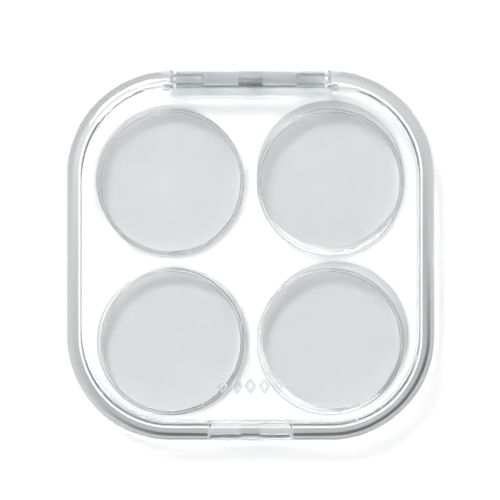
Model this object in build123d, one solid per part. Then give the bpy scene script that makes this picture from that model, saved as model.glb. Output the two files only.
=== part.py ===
"""Clear four-well palette case: a hinged, rounded-square case of crystal plastic with a well tray.

Millimetres. The origin is the middle of the underside, +X to the right, +Y to the hinge, +Z up.
The case is modelled closed.
"""

from build123d import *
import os

# ---- case outline, seen from above
CASE_WIDTH = 70.0
CASE_DEPTH = 70.3
CORNER_RADIUS = 20.0

# ---- wall thicknesses, and the heights of the shells
SIDE_WALL = 1.4
FRONT_WALL = 2.7  # thick enough for the recess of the catch tab
BACK_WALL = 3.25
LID_WALL = 0.95
FLOOR = 1.2
CEILING = 1.3
PARTING_Z = 7.5  # where the lid meets the base
CASE_HEIGHT = 13.5
BASE_EDGE_RADIUS = 1.5
LID_EDGE_RADIUS = 2.2
LID_INNER_RADIUS = 3.8  # between the lid's ceiling and its walls
CONTACT_GAP = 0.03  # air or glue between two pieces that rest on each other

# ---- hinge: a barrel on the base between two ears on the lid, one pin at each end
HINGE_WIDTH = 30.5  # the lid's walls round the barrel, end to end
NOTCH_WALL = 0.6  # their thickness at the two ends of the barrel
BARREL_LENGTH = 28.3
BARREL_RADIUS = 1.7
BARREL_GAP = 0.1  # between the barrel and the lid's wall in front of it
HINGE_WALL = 1.4  # the lid's wall in front of the barrel
EAR_LENGTH = 2.2
EAR_GAP = 0.1  # round an ear, in its pocket in the base
PIN_RADIUS = 0.75
PIN_FIT = 0.05  # radial running clearance in the barrel
PIN_GLUE_LINE = 0.01  # radial, in the ear that holds the pin
PIN_IN_BARREL = 5.0  # length of a pin inside the barrel
PIN_END_GAP = 0.3
OPEN_ANGLE = 110.0  # how far the lid turns
BEVEL_ANGLE = OPEN_ANGLE + 0.5  # where the bevels behind the hinge would touch
SLOT_WIDTH = 4.6  # the slot under the barrel, open to the back
SLOT_HEIGHT = 0.8
SLOT_TOP_Z = 7.35
SLOT_END_RUN = 0.65  # how far its sloping inner end runs forward as it falls
SLOT_END_SHIFT = 0.15  # from the hinge axis forward to the middle of that end

# ---- catch: a tab on the lid that hangs in a recess in the base's front wall
TAB_WIDTH = 15.9
TAB_THICKNESS = 1.7
TAB_DROP = 3.4  # how far it hangs below the parting line
TAB_CORNER_RADIUS = 0.8
TAB_GAP = 0.15
CATCH_WIDTH = 3.6  # the pocket in the tab that takes the rib on the base
CATCH_DEPTH = 1.1
CATCH_TOP_Z = 6.5
CATCH_ROOF_RUN = 0.6  # the part of the pocket's roof that slopes
CATCH_ROOF_DROP = 0.75
CATCH_RIB_RADIUS = 0.7

# ---- well tray
WELL_INNER_RADIUS = 13.25  # takes a round pan of 26 mm
RING_WALL = 0.8
WELL_PITCH = 30.45
WELLS_SHIFT_Y = -1.25
TRAY_PLATE = 1.2
TRAY_TOP_Z = 6.3
TRAY_GAP = 0.1
RIM_HEIGHT = 0.35
RIM_EDGE_RADIUS = 0.25

# ---- pads under the wells, stuck down as one set, a little turned and shifted
PAD_RADIUS = 14.05
PAD_THICKNESS = 0.6
PAD_PITCH = 30.97
PAD_SET_TURN = 2.0
PAD_SET_SHIFT = (0.28, -0.34)

# ---- ornament on the lid: a row of raised lozenge outlines
LOZENGE_COUNT = 5
LOZENGE_WIDTH = 2.35
LOZENGE_HEIGHT = 3.0
LOZENGE_STROKE = 0.5
LOZENGE_DRAFT = 40.0  # how far the sides of a stroke lean in
LOZENGE_SPACING = 2.65
LOZENGE_RELIEF = 0.2
LOZENGE_Y = -24.7

# ---- positions that follow from the sizes above
BACK_Y = CASE_DEPTH / 2
FRONT_Y = -CASE_DEPTH / 2
HINGE_Y = BACK_Y - BARREL_RADIUS
NOTCH_FRONT_Y = HINGE_Y - BARREL_RADIUS - BARREL_GAP
HINGE_BLOCK_FRONT_Y = NOTCH_FRONT_Y - HINGE_WALL
NOTCH_HALF = HINGE_WIDTH / 2 - NOTCH_WALL
EAR_END_X = NOTCH_HALF + EAR_LENGTH
LID_RIM_Z = PARTING_Z + CONTACT_GAP
PAD_LOW_Z = FLOOR + CONTACT_GAP
RING_LOW_Z = PAD_LOW_Z + PAD_THICKNESS + CONTACT_GAP
QUADRANTS = {
    "back_left": (-1, 1),
    "back_right": (1, 1),
    "front_left": (-1, -1),
    "front_right": (1, -1),
}
CUT = 100.0  # longer than the case, for cuts that run right through


def block(x_span, y_span, z_span):
    """A box between two limits along each axis."""
    low = Vector(x_span[0], y_span[0], z_span[0])
    high = Vector(x_span[1], y_span[1], z_span[1])
    size = high - low
    middle = (low + high) * 0.5
    return Pos(middle.X, middle.Y, middle.Z) * Box(size.X, size.Y, size.Z)


def prism(points, half_length):
    """A bar along X, as far on both sides of the middle, with a section given in y and z."""
    on_plane = Plane(origin=(-half_length, 0, 0), x_dir=(0, 1, 0), z_dir=(1, 0, 0))
    return extrude(on_plane * make_face(Polyline(*points, close=True)), 2 * half_length)


def rod(radius, x_span, y, z):
    """A round rod along X."""
    length = x_span[1] - x_span[0]
    middle_x = (x_span[0] + x_span[1]) / 2
    return Pos(middle_x, y, z) * Rot(0, 90, 0) * Cylinder(radius, length)


def case_plan():
    """The outline of the case."""
    return RectangleRounded(CASE_WIDTH, CASE_DEPTH, CORNER_RADIUS)


def inside_plan(side_wall, front_wall, back_wall):
    """The outline inside three wall thicknesses."""
    width = CASE_WIDTH - 2 * side_wall
    depth = CASE_DEPTH - front_wall - back_wall
    radius = CORNER_RADIUS - side_wall
    return Pos(0, (front_wall - back_wall) / 2) * RectangleRounded(width, depth, radius)


def hinge_block_plan(gap=0.0):
    """The place inside the case that the walls round the hinge take up."""
    front_y = HINGE_BLOCK_FRONT_Y - gap
    width = HINGE_WIDTH + 2 * gap
    return Pos(0, (front_y + BACK_Y) / 2) * Rectangle(width, BACK_Y - front_y)


def base_hollow_plan(gap=0.0):
    """The outline inside the base's walls, less the hinge block, drawn in by a gap."""
    inside = inside_plan(SIDE_WALL + gap, FRONT_WALL + gap, BACK_WALL + gap)
    return inside - hinge_block_plan(gap)


def lid_hollow():
    """The space inside the lid: rounded along its ceiling, less the hinge block and the tab."""
    ceiling_z = CASE_HEIGHT - CEILING
    inside = Pos(0, 0, LID_RIM_Z) * inside_plan(LID_WALL, LID_WALL, LID_WALL)
    space = extrude(inside, ceiling_z - LID_RIM_Z)
    space = fillet(edges_at(space, ceiling_z), LID_INNER_RADIUS)
    space -= extrude(hinge_block_plan(), CASE_HEIGHT)
    return space - extrude(tab_plan(), CASE_HEIGHT)


def edges_at(part, z):
    """The edges of a part that lie flat at one height."""
    return part.edges().filter_by_position(Axis.Z, z, z)


def behind_hinge(first_angle, last_angle):
    """The wedge behind the hinge axis between two angles, measured up from straight back."""
    axis = Vector(HINGE_Y, PARTING_Z)
    reach = Vector(2 * CASE_HEIGHT, 0)
    corners = [axis, axis + reach.rotate(Axis.Z, first_angle), axis + reach.rotate(Axis.Z, last_angle)]
    return prism([(corner.X, corner.Y) for corner in corners], CUT / 2)


def rod_pair(radius, start_x, end_x):
    """Two rods on the hinge axis, one on each side of the middle."""
    right = rod(radius, (start_x, end_x), HINGE_Y, PARTING_Z)
    return right + mirror(right, Plane.YZ)


def tab_plan(gap=0.0):
    """The catch tab seen from above: square at the front, rounded where it meets the wall."""
    back_y = FRONT_Y + TAB_THICKNESS + gap
    half = TAB_WIDTH / 2 + gap
    outline = Polyline(
        (-half, FRONT_Y - 1), (-half, back_y), (half, back_y), (half, FRONT_Y - 1), close=True
    )
    face = make_face(outline)
    inner_corners = face.vertices().sort_by(Axis.Y)[-2:]
    return fillet(inner_corners, TAB_CORNER_RADIUS)


def base_shell():
    """The bottom shell: a tub with the hinge barrel on its back wall and a recess for the tab."""
    body = extrude(case_plan(), PARTING_Z)
    body = fillet(edges_at(body, 0), BASE_EDGE_RADIUS)
    body -= Pos(0, 0, FLOOR) * extrude(base_hollow_plan(), CASE_HEIGHT)
    body -= behind_hinge(-BEVEL_ANGLE / 2, 90)
    body += hinge_barrel()
    body -= barrel_slot()
    body -= rod_pair(BARREL_RADIUS + EAR_GAP, BARREL_LENGTH / 2, EAR_END_X + EAR_GAP)
    bore_start = BARREL_LENGTH / 2 - PIN_IN_BARREL - PIN_END_GAP
    body -= rod_pair(PIN_RADIUS + PIN_FIT, bore_start, CUT / 2)
    recess_z = PARTING_Z - TAB_DROP - TAB_GAP
    body -= extrude(Pos(0, 0, recess_z) * tab_plan(TAB_GAP), CASE_HEIGHT)
    return body + catch_rib()


def hinge_barrel():
    """The barrel along the hinge axis, with its foot on the back wall."""
    x_span = (-BARREL_LENGTH / 2, BARREL_LENGTH / 2)
    foot = block(x_span, (HINGE_Y, BACK_Y), (BASE_EDGE_RADIUS, PARTING_Z))
    return foot + rod(BARREL_RADIUS, x_span, HINGE_Y, PARTING_Z)


def barrel_slot():
    """The slot under the middle of the barrel: open to the back, with a sloping inner end."""
    low_z = SLOT_TOP_Z - SLOT_HEIGHT
    end_low_y = HINGE_Y - SLOT_END_SHIFT - SLOT_END_RUN / 2
    end_top_y = end_low_y + SLOT_END_RUN
    points = [(CUT, low_z), (end_low_y, low_z), (end_top_y, SLOT_TOP_Z), (CUT, SLOT_TOP_Z)]
    return prism(points, SLOT_WIDTH / 2)


def catch_rib():
    """The small round rib in the base's tab recess that the tab's pocket sits over."""
    wall_y = FRONT_Y + TAB_THICKNESS + TAB_GAP
    half = CATCH_WIDTH / 2 - TAB_GAP
    rib_z = CATCH_TOP_Z - TAB_GAP - CATCH_RIB_RADIUS
    return rod(CATCH_RIB_RADIUS, (-half, half), wall_y, rib_z)


def lid_shell():
    """The lid: a shallow tray upside down, walled round the barrel, with ears, tab and ornament."""
    body = extrude(Pos(0, 0, LID_RIM_Z) * case_plan(), CASE_HEIGHT - LID_RIM_Z)
    body = fillet(edges_at(body, CASE_HEIGHT), LID_EDGE_RADIUS)
    body -= lid_hollow()
    body -= behind_hinge(-90, BEVEL_ANGLE / 2)
    body -= block((-NOTCH_HALF, NOTCH_HALF), (NOTCH_FRONT_Y, CUT), (0, CUT))
    body += rod_pair(BARREL_RADIUS, NOTCH_HALF, EAR_END_X)
    body -= rod_pair(PIN_RADIUS + PIN_GLUE_LINE, NOTCH_HALF, CUT / 2)
    return body + catch_tab() + ornament()


def catch_tab():
    """The thumb tab at the front of the lid, with a pocket for the rib, open at its lower end."""
    low_z = PARTING_Z - TAB_DROP
    tab = extrude(Pos(0, 0, low_z) * tab_plan(), TAB_DROP + TAB_THICKNESS)
    tab &= extrude(case_plan(), CASE_HEIGHT)
    return tab - catch_pocket()


def catch_pocket():
    """The pocket in the back of the tab, open at its lower end, with a partly sloping roof."""
    wall_y = FRONT_Y + TAB_THICKNESS
    end_y = wall_y - CATCH_DEPTH
    low_z = CATCH_TOP_Z - CATCH_ROOF_DROP
    roof = [(end_y, low_z), (end_y + CATCH_ROOF_RUN, CATCH_TOP_Z), (wall_y + 1, CATCH_TOP_Z)]
    return prism([(wall_y + 1, 0), (end_y, 0)] + roof, CATCH_WIDTH / 2)


def ornament():
    """A row of raised lozenge outlines near the front of the lid."""
    outer = Polyline(
        (-LOZENGE_WIDTH / 2, 0), (0, LOZENGE_HEIGHT / 2), (LOZENGE_WIDTH / 2, 0),
        (0, -LOZENGE_HEIGHT / 2), close=True,
    )
    outer_face = make_face(outer)
    outline = outer_face - offset(outer_face, -LOZENGE_STROKE, kind=Kind.INTERSECTION)
    first_x = -LOZENGE_SPACING * (LOZENGE_COUNT - 1) / 2
    marks = Part()
    for i in range(LOZENGE_COUNT):
        place = Pos(first_x + i * LOZENGE_SPACING, LOZENGE_Y, CASE_HEIGHT)
        marks += extrude(place * outline, LOZENGE_RELIEF, taper=LOZENGE_DRAFT)
    return marks


def hinge_pin(side):
    """A short rod, pressed into the ear on one side and running in the barrel."""
    x_span = sorted((side * (BARREL_LENGTH / 2 - PIN_IN_BARREL), side * EAR_END_X))
    return rod(PIN_RADIUS, x_span, HINGE_Y, PARTING_Z)


def well_centres():
    """The middles of the four wells, by name."""
    half = WELL_PITCH / 2
    return {name: (x * half, y * half + WELLS_SHIFT_Y) for name, (x, y) in QUADRANTS.items()}


def well_tray():
    """The tray: a flat plate with four round wells, walled downwards, and a low rim round each."""
    ring_radius = WELL_INNER_RADIUS + RING_WALL
    tray = extrude(Pos(0, 0, TRAY_TOP_Z - TRAY_PLATE) * base_hollow_plan(TRAY_GAP), TRAY_PLATE)
    rim_z = TRAY_TOP_Z + RIM_HEIGHT
    for x, y in well_centres().values():
        tray += Pos(x, y, RING_LOW_Z) * extrude(Circle(ring_radius), rim_z - RING_LOW_Z)
    for x, y in well_centres().values():
        tray -= Pos(x, y, 0) * extrude(Circle(WELL_INNER_RADIUS), CASE_HEIGHT)
    return fillet(edges_at(tray, rim_z), RIM_EDGE_RADIUS)


def well_pad(x, y):
    """One grey disc under a well. x and y say which quadrant it is in."""
    in_set = Pos(x * PAD_PITCH / 2, y * PAD_PITCH / 2, 0)
    set_place = Pos(PAD_SET_SHIFT[0], PAD_SET_SHIFT[1], PAD_LOW_Z) * Rot(0, 0, PAD_SET_TURN)
    return set_place * in_set * extrude(Circle(PAD_RADIUS), PAD_THICKNESS)


def build():
    """Every piece of the case, by node name."""
    pieces = {
        "base_shell": base_shell(),
        "lid_shell": lid_shell(),
        "hinge_pin_left": hinge_pin(-1),
        "hinge_pin_right": hinge_pin(1),
        "well_tray": well_tray(),
    }
    for name, (x, y) in QUADRANTS.items():
        pieces["well_pad_" + name] = well_pad(x, y)
    return pieces


os.makedirs("parts", exist_ok=True)
for node, piece in build().items():
    export_step(piece, f"parts/{node}.step")
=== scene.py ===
import math

import bpy
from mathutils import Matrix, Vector


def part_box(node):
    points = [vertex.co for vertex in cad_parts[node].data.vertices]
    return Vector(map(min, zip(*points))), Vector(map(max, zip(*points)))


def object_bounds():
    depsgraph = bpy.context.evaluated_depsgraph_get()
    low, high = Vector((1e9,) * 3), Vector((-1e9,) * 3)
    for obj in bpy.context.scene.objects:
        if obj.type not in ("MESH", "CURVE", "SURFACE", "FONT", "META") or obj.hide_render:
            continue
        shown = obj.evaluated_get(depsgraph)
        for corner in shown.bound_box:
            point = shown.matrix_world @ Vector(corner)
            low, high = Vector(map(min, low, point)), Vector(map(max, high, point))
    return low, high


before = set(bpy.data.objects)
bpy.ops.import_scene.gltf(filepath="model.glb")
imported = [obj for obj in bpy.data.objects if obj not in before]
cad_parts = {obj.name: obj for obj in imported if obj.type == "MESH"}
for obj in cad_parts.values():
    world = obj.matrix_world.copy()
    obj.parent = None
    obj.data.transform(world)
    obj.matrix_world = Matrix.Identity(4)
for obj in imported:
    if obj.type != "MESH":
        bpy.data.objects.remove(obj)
bounds_at_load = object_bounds()

# ---- picture: the camera looks straight down on the closed case
FRAME_WIDTH = 0.0944  # what the picture shows from side to side, at the height of the lid's top
FRAME_CENTRE = Vector((-0.0001, 0.0010))
CAMERA_HEIGHT = 0.60  # above the lid's top
SENSOR_WIDTH = 36
FLOOR_HALF = 1.5
FLOOR_GAP = 0.0001
FLOOR_GREY = 0.95

# ---- light: a soft sky that is lighter at the back, a large key light and a ring of cards in
# several greys, which the clear walls mirror
SKY_SIDE = Vector((-0.3, 0.8, 0.5))
SKY_STOPS = ((0.0, 0.5), (0.7, 1.0))
SKY_STRENGTH = 1.02
KEY_PLACE = Vector((-0.24, 0.38, 0.85))
KEY_SIZE = 0.3
KEY_POWER = 6.3
CARD_LOW = (0.006, 0.0002)  # distance out from the case, and height above the floor
CARD_HIGH = (0.030, 0.040)
CARD_CORNER_RADIUS = 0.020
CARD_STEPS = 24  # along each rounded corner
CARD_SIDE = Vector((-0.35, 0.94, 0))
CARD_SIDE_SHARES = (0.12, 0.34, 0.67, 0.95)  # how far front, right, left and back lie to that side
CARD_TONES = (  # height above the floor, and the tones at the front, right, left and back there
    (0.0053, (0.55, 0.62, 0.62, 0.54)),
    (0.0058, (0.12, 0.59, 0.64, 0.58)),
    (0.0073, (0.13, 0.52, 0.65, 0.74)),
    (0.0083, (0.48, 0.45, 0.62, 0.84)),
)
TAB_CARD_MIDDLE = 0.0051  # a card stretch in front of each half of the tab, along X
TAB_CARD_HALF = 0.0032
TAB_CARD_TONE = 0.62
CARD_COOLNESS = 0.015

# ---- plastic
STYRENE_IOR = 1.55
TINT = (0.0, 0.03, 0.06)  # share of red, green and blue that thick plastic spares
CASE_DENSITY = 12.0
TRAY_DENSITY = 28.0
PIN_DENSITY = 14.0
CASE_WAVE_SCALE = 55  # waves per metre; the depths are in metres
TRAY_WAVE_SCALE = 70
WAVE_DEPTH = 0.000012
PIN_WAVE_SCALE = 300
PIN_WAVE_DEPTH = 0.000005
HAZE_SCALE = 900
HAZE = 0.012  # the greatest roughness of a polished face
SATIN = 0.12  # roughness
FROSTED = 0.35
MOTTLE_SCALE = 700
MOTTLE = 0.03  # share of a blended tone, painted shade or a finish's own tone, up and down
TONE_COOLNESS = 0.03

# ---- grey discs in the wells
PAD_GREY = 0.5
PAD_MOTTLE_SCALE = 260
PAD_MOTTLE = 0.015
PAD_COOLNESS = 0.012
PAD_GRAIN_SCALE = 9000
PAD_GRAIN_DEPTH = 0.00001
PAD_ROUGHNESS = (0.72, 0.88)

# ---- places on the clear pieces with painted shade; some also have a satin or frosted finish of their own
BARREL_HALF_LENGTH = 0.01416
BARREL_RADIUS = 0.0017
# painted shade: the grey of the hinge barrel stands in for the dark surroundings it refracts
BARREL_PAINTED_SHADE = 0.5
SLOT_HALF = Vector((0.00235, 0.00045, 0.00045))
SLOT_FROM_AXIS = Vector((0, -0.00025, -0.00055))
# painted shade: the dark of the slot stands in for shade in its recess
SLOT_PAINTED_SHADE = 0.22
BLOCK_HALF = Vector((0.01525, 0.00245, 0.0135))
BLOCK_PLACE = Vector((0, -0.00245, 0))  # from the lid's back edge and the floor
# painted shade: the grey of the lid's hinge walls
BLOCK_PAINTED_SHADE = 0.88
TAB_HALF = Vector((0.00798, 0.0009, 0.00172))
TAB_PLACE = Vector((0, 0.00085, 0.0058))  # from the lid's front edge and the floor
# painted shade: the light grey of the catch tab
TAB_PAINTED_SHADE = 0.86
POCKET_HALF = Vector((0.00181, 0.00058, 0.0012))
POCKET_PLACE = Vector((0, 0.00115, 0.0054))  # from the lid's front edge and the floor
# painted shade: the dark of the pocket in the tab, on its satin faces
POCKET_PAINTED_SHADE = 0.12
MARK_REACH = 0.00018  # up and down from the lid's top, less than the marks' relief
MARK_TONE = 0.84
MARK_CLEARNESS = 0.5
# painted shade: the marks' leaning sides are darker, like outlines
MARK_SIDE_PAINTED_SHADE = 0.36
MARK_SIDE_RISE = 0.64  # how far the normal of a leaning side points up
MARK_SIDE_RISE_REACH = 0.2

NOISE_MIDDLE = (0.3, 0.7)  # the part of a noise's range that most of it lies in


def grey(value, cool=0.0):
    """A grey, a little cooler by the given share."""
    return (value * (1 - cool), value, value * (1 + cool), 1)


def add_node(material, kind, **values):
    """A shader node, with its inputs set by name (with _ for a space) or its attributes by name."""
    node = material.node_tree.nodes.new(kind)
    for name, value in values.items():
        socket = node.inputs.get(name.replace("_", " "))
        if socket is None:
            setattr(node, name, value)
        else:
            socket.default_value = value
    return node


def link(material, source, target):
    """Wires an output to an input."""
    material.node_tree.links.new(source, target)


def new_material(name):
    """An empty node material, with its principled shader and its output."""
    material = bpy.data.materials.new(name)
    material.use_nodes = True
    material.node_tree.nodes.clear()
    shader = add_node(material, "ShaderNodeBsdfPrincipled")
    output = add_node(material, "ShaderNodeOutputMaterial")
    link(material, shader.outputs["BSDF"], output.inputs["Surface"])
    return material, shader, output


def noise(material, scale, detail):
    """Noise fixed to the object, with a scale in waves per metre."""
    coords = add_node(material, "ShaderNodeTexCoord")
    texture = add_node(material, "ShaderNodeTexNoise", Scale=scale, Detail=detail)
    link(material, coords.outputs["Object"], texture.inputs["Vector"])
    return texture


def ramp(material, source, stops):
    """A colour ramp through greys or colours, each at its place from 0 to 1."""
    node = add_node(material, "ShaderNodeValToRGB")
    elements = node.color_ramp.elements
    while len(elements) < len(stops):
        elements.new(0.5)
    for element, (place, value) in zip(elements, stops):
        element.position = place
        element.color = grey(value) if isinstance(value, float) else value
    link(material, source, node.inputs["Fac"])
    return node.outputs["Color"]


def spread(material, source, to_range, from_range):
    """A value taken from one range to another, and kept inside it."""
    node = add_node(material, "ShaderNodeMapRange")
    node.inputs["From Min"].default_value = from_range[0]
    node.inputs["From Max"].default_value = from_range[1]
    node.inputs["To Min"].default_value = to_range[0]
    node.inputs["To Max"].default_value = to_range[1]
    link(material, source, node.inputs["Value"])
    return node.outputs["Result"]


def add_bump(material, shader, height, strength, distance):
    """Bump from a height value."""
    bump = add_node(material, "ShaderNodeBump", Strength=strength, Distance=distance)
    link(material, height, bump.inputs["Height"])
    link(material, bump.outputs["Normal"], shader.inputs["Normal"])


def all_of(material, shares):
    """The product of several shares."""
    product = shares[0]
    for share in shares[1:]:
        both = add_node(material, "ShaderNodeMath", operation="MULTIPLY")
        link(material, product, both.inputs[0])
        link(material, share, both.inputs[1])
        product = both.outputs["Value"]
    return product


def vector_math(material, operation, source, other=None):
    """A vector operation on the source, with a fixed second vector where it needs one."""
    node = add_node(material, "ShaderNodeVectorMath", operation=operation)
    link(material, source, node.inputs[0])
    if other is not None:
        node.inputs[1].default_value = other
    return node


def near(material, source, value, reach):
    """1 where a value is within reach of another, 0 elsewhere."""
    test = add_node(material, "ShaderNodeMath", operation="COMPARE")
    link(material, source, test.inputs[0])
    test.inputs[1].default_value = value
    test.inputs[2].default_value = reach
    return test.outputs["Value"]


def own_axes(material, kind):
    """The X, Y and Z of a place ("Object") or a direction ("Normal") in the object's own axes."""
    coords = add_node(material, "ShaderNodeTexCoord")
    split = add_node(material, "ShaderNodeSeparateXYZ")
    link(material, coords.outputs[kind], split.inputs["Vector"])
    return split.outputs


def inside_box(material, middle, half):
    """1 inside a box in the object's own axes, 0 outside it."""
    places = zip(own_axes(material, "Object"), middle, half)
    return all_of(material, [near(material, *place) for place in places])


def on_barrel(material, axis_place):
    """1 on the round face of the hinge barrel, whose axis runs along X, 0 elsewhere."""
    coords = add_node(material, "ShaderNodeTexCoord")
    offset = vector_math(material, "SUBTRACT", coords.outputs["Object"], axis_place)
    across = vector_math(material, "MULTIPLY", offset.outputs["Vector"], (0, 1, 1))
    radius = vector_math(material, "LENGTH", across.outputs["Vector"])
    along = near(material, own_axes(material, "Object")["X"], 0, BARREL_HALF_LENGTH)
    around = near(material, radius.outputs["Value"], BARREL_RADIUS, BARREL_RADIUS / 10)
    return all_of(material, [along, around])


def mix_colours(material, share, first, second):
    """The first colour where the share is 0 and the second where it is 1."""
    mix = add_node(material, "ShaderNodeMixRGB")
    link(material, share, mix.inputs["Fac"])
    link(material, first, mix.inputs["Color1"])
    link(material, second, mix.inputs["Color2"])
    return mix.outputs["Color"]


def blend_value(material, share, changed, target):
    """Changes an input where the share is 1, and keeps what feeds it elsewhere."""
    mix = add_node(material, "ShaderNodeMix", data_type="FLOAT")
    link(material, share, mix.inputs["Factor"])
    if target.links:
        link(material, target.links[0].from_socket, mix.inputs["A"])
    else:
        mix.inputs["A"].default_value = target.default_value
    mix.inputs["B"].default_value = changed
    link(material, mix.outputs["Result"], target)


def mottled_stops(tone, mottle, coolness):
    """Ramp stops for a noise: a cool grey that varies by a share of its tone, up and down."""
    tones = (tone * (1 - mottle), tone * (1 + mottle))
    return [(place, grey(value, coolness)) for place, value in zip(NOISE_MIDDLE, tones)]


def blend_tone(material, share, tone, target):
    """Tones a colour input down where the share is 1, a little mottled."""
    mottle = noise(material, MOTTLE_SCALE, 2.0)
    stops = mottled_stops(tone, MOTTLE, TONE_COOLNESS)
    mix = add_node(material, "ShaderNodeMixRGB")
    link(material, share, mix.inputs["Fac"])
    if target.links:
        link(material, target.links[0].from_socket, mix.inputs["Color1"])
    else:
        mix.inputs["Color1"].default_value = target.default_value
    link(material, ramp(material, mottle.outputs["Fac"], stops), mix.inputs["Color2"])
    link(material, mix.outputs["Color"], target)


def clear_plastic(name, density, wave_scale, wave_depth):
    """Polished crystal styrene: clear, with the faint waves of a moulded face and a grey depth."""
    material, shader, output = new_material(name)
    shader.inputs["Base Color"].default_value = grey(1.0)
    shader.inputs["Transmission Weight"].default_value = 1.0
    shader.inputs["IOR"].default_value = STYRENE_IOR
    haze = noise(material, HAZE_SCALE, 3.0)
    roughness = spread(material, haze.outputs["Fac"], (0, HAZE), NOISE_MIDDLE)
    link(material, roughness, shader.inputs["Roughness"])
    waves = noise(material, wave_scale, 1.0)
    add_bump(material, shader, waves.outputs["Fac"], 1.0, wave_depth)
    depth = add_node(material, "ShaderNodeVolumeAbsorption", Color=(*TINT, 1), Density=density)
    link(material, depth.outputs["Volume"], output.inputs["Volume"])
    return material, shader


def base_plastic():
    """The clear plastic of the base, with a satin hinge barrel greyed by painted shade, and painted
    shade in the slot.
    """
    material, shader = clear_plastic("clear_base", CASE_DENSITY, CASE_WAVE_SCALE, WAVE_DEPTH)
    low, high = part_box("hinge_pin_left")
    axis_place = Vector((0, (low.y + high.y) / 2, (low.z + high.z) / 2))
    barrel = on_barrel(material, axis_place)
    slot = inside_box(material, axis_place + SLOT_FROM_AXIS, SLOT_HALF)
    # painted shade on the barrel and in the slot
    for share, tone in ((barrel, BARREL_PAINTED_SHADE), (slot, SLOT_PAINTED_SHADE)):
        blend_tone(material, share, tone, shader.inputs["Base Color"])
    blend_value(material, barrel, SATIN, shader.inputs["Roughness"])
    return material


def lid_plastic():
    """The clear plastic of the lid: frosted marks with painted shade on their leaning sides, painted
    shade on the hinge walls and tab, and a satin pocket darkened by painted shade.
    """
    material, shader = clear_plastic("clear_lid", CASE_DENSITY, CASE_WAVE_SCALE, WAVE_DEPTH)
    low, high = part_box("lid_shell")
    marks = inside_box(material, Vector((0, 0, high.z)), Vector((high.x, high.y, MARK_REACH)))
    rise = own_axes(material, "Normal")["Z"]
    leaning = near(material, rise, MARK_SIDE_RISE, MARK_SIDE_RISE_REACH)
    mark_sides = all_of(material, [marks, leaning])
    block = inside_box(material, Vector((0, high.y, 0)) + BLOCK_PLACE, BLOCK_HALF)
    tab = inside_box(material, Vector((0, low.y, 0)) + TAB_PLACE, TAB_HALF)
    pocket = inside_box(material, Vector((0, low.y, 0)) + POCKET_PLACE, POCKET_HALF)
    # the marks' tops keep their own frosted tone; their leaning sides, the hinge walls, the tab and
    # the pocket get painted shade
    toned = (
        (marks, MARK_TONE),
        (mark_sides, MARK_SIDE_PAINTED_SHADE),
        (block, BLOCK_PAINTED_SHADE),
        (tab, TAB_PAINTED_SHADE),
        (pocket, POCKET_PAINTED_SHADE),
    )
    for share, tone in toned:
        blend_tone(material, share, tone, shader.inputs["Base Color"])
    blend_value(material, marks, MARK_CLEARNESS, shader.inputs["Transmission Weight"])
    blend_value(material, marks, FROSTED, shader.inputs["Roughness"])
    blend_value(material, pocket, SATIN, shader.inputs["Roughness"])
    return material


def pad_material():
    """Matte light grey sheet with a fine grain and a faint mottle."""
    material, shader, _ = new_material("pad_sheet")
    mottle = noise(material, PAD_MOTTLE_SCALE, 3.0)
    stops = mottled_stops(PAD_GREY, PAD_MOTTLE, PAD_COOLNESS)
    link(material, ramp(material, mottle.outputs["Fac"], stops), shader.inputs["Base Color"])
    grain = noise(material, PAD_GRAIN_SCALE, 2.0)
    roughness = spread(material, grain.outputs["Fac"], PAD_ROUGHNESS, NOISE_MIDDLE)
    link(material, roughness, shader.inputs["Roughness"])
    shader.inputs["Specular IOR Level"].default_value = 0.2
    add_bump(material, shader, grain.outputs["Fac"], 0.3, PAD_GRAIN_DEPTH)
    return material


def set_material(node, material):
    """Puts a material in the only slot of a CAD object."""
    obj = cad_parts[node]
    obj.data.materials.clear()
    obj.data.materials.append(material)


def add_materials():
    """A material on each of the nine pieces."""
    tray, _ = clear_plastic("clear_tray", TRAY_DENSITY, TRAY_WAVE_SCALE, WAVE_DEPTH)
    pin, _ = clear_plastic("clear_pin", PIN_DENSITY, PIN_WAVE_SCALE, PIN_WAVE_DEPTH)
    pad = pad_material()
    set_material("base_shell", base_plastic())
    set_material("lid_shell", lid_plastic())
    set_material("well_tray", tray)
    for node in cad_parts:
        if node.startswith("hinge_pin"):
            set_material(node, pin)
        if node.startswith("well_pad"):
            set_material(node, pad)


def add_object(name, data):
    """A new object in the scene, round its mesh, light or camera."""
    obj = bpy.data.objects.new(name, data)
    bpy.context.scene.collection.objects.link(obj)
    return obj


def add_floor():
    """A plain white floor just under the case."""
    mesh = bpy.data.meshes.new("floor")
    sides = ((-1, -1), (1, -1), (1, 1), (-1, 1))
    corners = [(x * FLOOR_HALF, y * FLOOR_HALF, 0) for x, y in sides]
    mesh.from_pydata(corners, [], [(0, 1, 2, 3)])
    floor = add_object("floor", mesh)
    floor.location.z = bounds_at_load[0].z - FLOOR_GAP
    material, shader, _ = new_material("floor_white")
    shader.inputs["Base Color"].default_value = grey(FLOOR_GREY)
    shader.inputs["Roughness"].default_value = 0.9
    shader.inputs["Specular IOR Level"].default_value = 0.0
    mesh.materials.append(material)


def direction_share(tree_owner, source, side):
    """How far a direction points to one side: 0 away from it, 1 towards it."""
    dot = vector_math(tree_owner, "DOT_PRODUCT", source, side.normalized())
    return spread(tree_owner, dot.outputs["Value"], (0, 1), (-1, 1))


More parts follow.
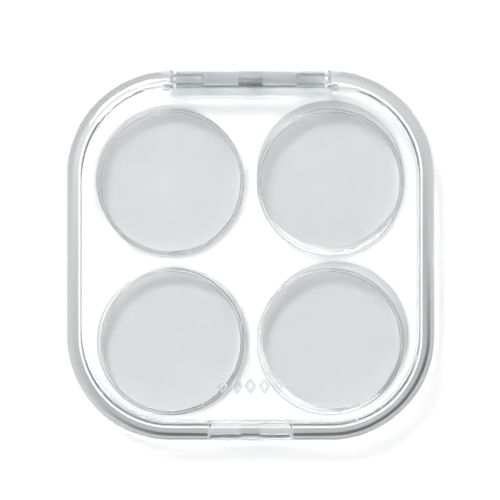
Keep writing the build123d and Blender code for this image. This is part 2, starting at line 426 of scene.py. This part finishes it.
def add_sky():
    """The world's light, graded from the front to the back of the room."""
    world = bpy.data.worlds.new("studio")
    bpy.context.scene.world = world
    world.use_nodes = True
    world.node_tree.nodes.clear()
    background = add_node(world, "ShaderNodeBackground", Strength=SKY_STRENGTH)
    output = add_node(world, "ShaderNodeOutputWorld")
    link(world, background.outputs["Background"], output.inputs["Surface"])
    coords = add_node(world, "ShaderNodeTexCoord")
    share = direction_share(world, coords.outputs["Generated"], SKY_SIDE)
    link(world, ramp(world, share, SKY_STOPS), background.inputs["Color"])


def add_key_light():
    """A large soft light from the back left, high up."""
    light = bpy.data.lights.new("key", "AREA")
    light.shape = "SQUARE"
    light.size = KEY_SIZE
    light.energy = KEY_POWER
    key = add_object("key", light)
    key.location = KEY_PLACE
    key.rotation_euler = (-KEY_PLACE).to_track_quat("-Z", "Y").to_euler()


def ring_points(outset, height):
    """A rounded-square loop round the case, at a distance out from its outline."""
    low, high = bounds_at_load
    radius = CARD_CORNER_RADIUS + outset
    middle = (low + high) / 2
    arm = (high - low) / 2 + Vector((outset - radius, outset - radius, 0))
    points = []
    for quarter, (x, y) in enumerate(((1, 1), (-1, 1), (-1, -1), (1, -1))):
        for step in range(CARD_STEPS + 1):
            angle = math.radians(90 * (quarter + step / CARD_STEPS))
            along_x = middle.x + x * arm.x + radius * math.cos(angle)
            along_y = middle.y + y * arm.y + radius * math.sin(angle)
            points.append((along_x, along_y, low.z + height))
    return points


def show_only_inside_plastic(material, shader, output):
    """Leaves a surface out of every light path that hasn't both entered and reflected in plastic."""
    path = add_node(material, "ShaderNodeLightPath")
    counts = [path.outputs["Glossy Depth"], path.outputs["Transmission Depth"]]
    share = all_of(material, [spread(material, count, (0, 1), (0, 1)) for count in counts])
    nothing = add_node(material, "ShaderNodeBsdfTransparent")
    mix = add_node(material, "ShaderNodeMixShader")
    link(material, share, mix.inputs["Fac"])
    link(material, nothing.outputs["BSDF"], mix.inputs[1])
    link(material, shader.outputs["BSDF"], mix.inputs[2])
    link(material, mix.outputs["Shader"], output.inputs["Surface"])


def card_level(material, share, tones):
    """The ring's tones at one height, by how far to the card side a place lies."""
    stops = [(place, grey(value, CARD_COOLNESS)) for place, value in zip(CARD_SIDE_SHARES, tones)]
    return ramp(material, share, stops)


def before_tab(material, axes):
    """1 on the two stretches of the ring in front of the tab's halves, 0 elsewhere."""
    aside = add_node(material, "ShaderNodeMath", operation="ABSOLUTE")
    link(material, axes["X"], aside.inputs[0])
    shares = [
        near(material, aside.outputs["Value"], TAB_CARD_MIDDLE, TAB_CARD_HALF),
        near(material, axes["Y"], -FLOOR_HALF, FLOOR_HALF),  # anywhere in front of the middle
    ]
    return all_of(material, shares)


def card_material():
    """Light of the card ring, graded round the case and by height."""
    material, shader, output = new_material("card_ring")
    show_only_inside_plastic(material, shader, output)
    material.cycles.emission_sampling = "NONE"
    place = add_node(material, "ShaderNodeNewGeometry").outputs["Position"]
    axes = add_node(material, "ShaderNodeSeparateXYZ")
    link(material, place, axes.inputs["Vector"])
    flat = vector_math(material, "MULTIPLY", place, (1, 1, 0))
    direction = vector_math(material, "NORMALIZE", flat.outputs["Vector"])
    share = direction_share(material, direction.outputs["Vector"], CARD_SIDE)
    heights = [height for height, _ in CARD_TONES]
    levels = [card_level(material, share, tones) for _, tones in CARD_TONES]
    tone = levels[0]
    for below, above, level in zip(heights, heights[1:], levels[1:]):
        rise = spread(material, axes.outputs["Z"], (0, 1), (below, above))
        tone = mix_colours(material, rise, tone, level)
    link(material, tone, shader.inputs["Emission Color"])
    tab_cards = before_tab(material, axes.outputs)
    blend_tone(material, tab_cards, TAB_CARD_TONE, shader.inputs["Emission Color"])
    shader.inputs["Emission Strength"].default_value = 1.0
    shader.inputs["Base Color"].default_value = grey(0.0)
    shader.inputs["Specular IOR Level"].default_value = 0.0
    return material


def add_card_ring():
    """A sloping ring of cards round the case, which the clear walls mirror to the camera."""
    low_ring = ring_points(*CARD_LOW)
    high_ring = ring_points(*CARD_HIGH)
    count = len(low_ring)
    faces = []
    for i in range(count):
        j = (i + 1) % count
        faces.append((i, j, count + j, count + i))
    mesh = bpy.data.meshes.new("card_ring")
    mesh.from_pydata(low_ring + high_ring, [], faces)
    mesh.materials.append(card_material())
    ring = add_object("card_ring", mesh)
    ring.visible_camera = False
    ring.visible_diffuse = False
    ring.visible_shadow = False


def add_camera():
    """A camera straight above the case, framed as wide as FRAME_WIDTH at the lid's top."""
    camera = bpy.data.cameras.new("camera")
    camera.sensor_width = SENSOR_WIDTH
    camera.lens = SENSOR_WIDTH * CAMERA_HEIGHT / FRAME_WIDTH
    camera.clip_end = 10
    obj = add_object("camera", camera)
    obj.location = (FRAME_CENTRE.x, FRAME_CENTRE.y, bounds_at_load[1].z + CAMERA_HEIGHT)
    bpy.context.scene.camera = obj


def set_light_paths():
    """Enough bounces for light to get through every wall of the case, without blur or clamping."""
    scene = bpy.context.scene
    scene.view_settings.view_transform = "Standard"
    scene.cycles.blur_glossy = 0.0
    scene.cycles.sample_clamp_indirect = 0.0
    scene.cycles.max_bounces = 64
    scene.cycles.transmission_bounces = 64
    scene.cycles.diffuse_bounces = 16
    scene.cycles.glossy_bounces = 32


add_materials()
add_floor()
add_sky()
add_key_light()
add_card_ring()
add_camera()
set_light_paths()
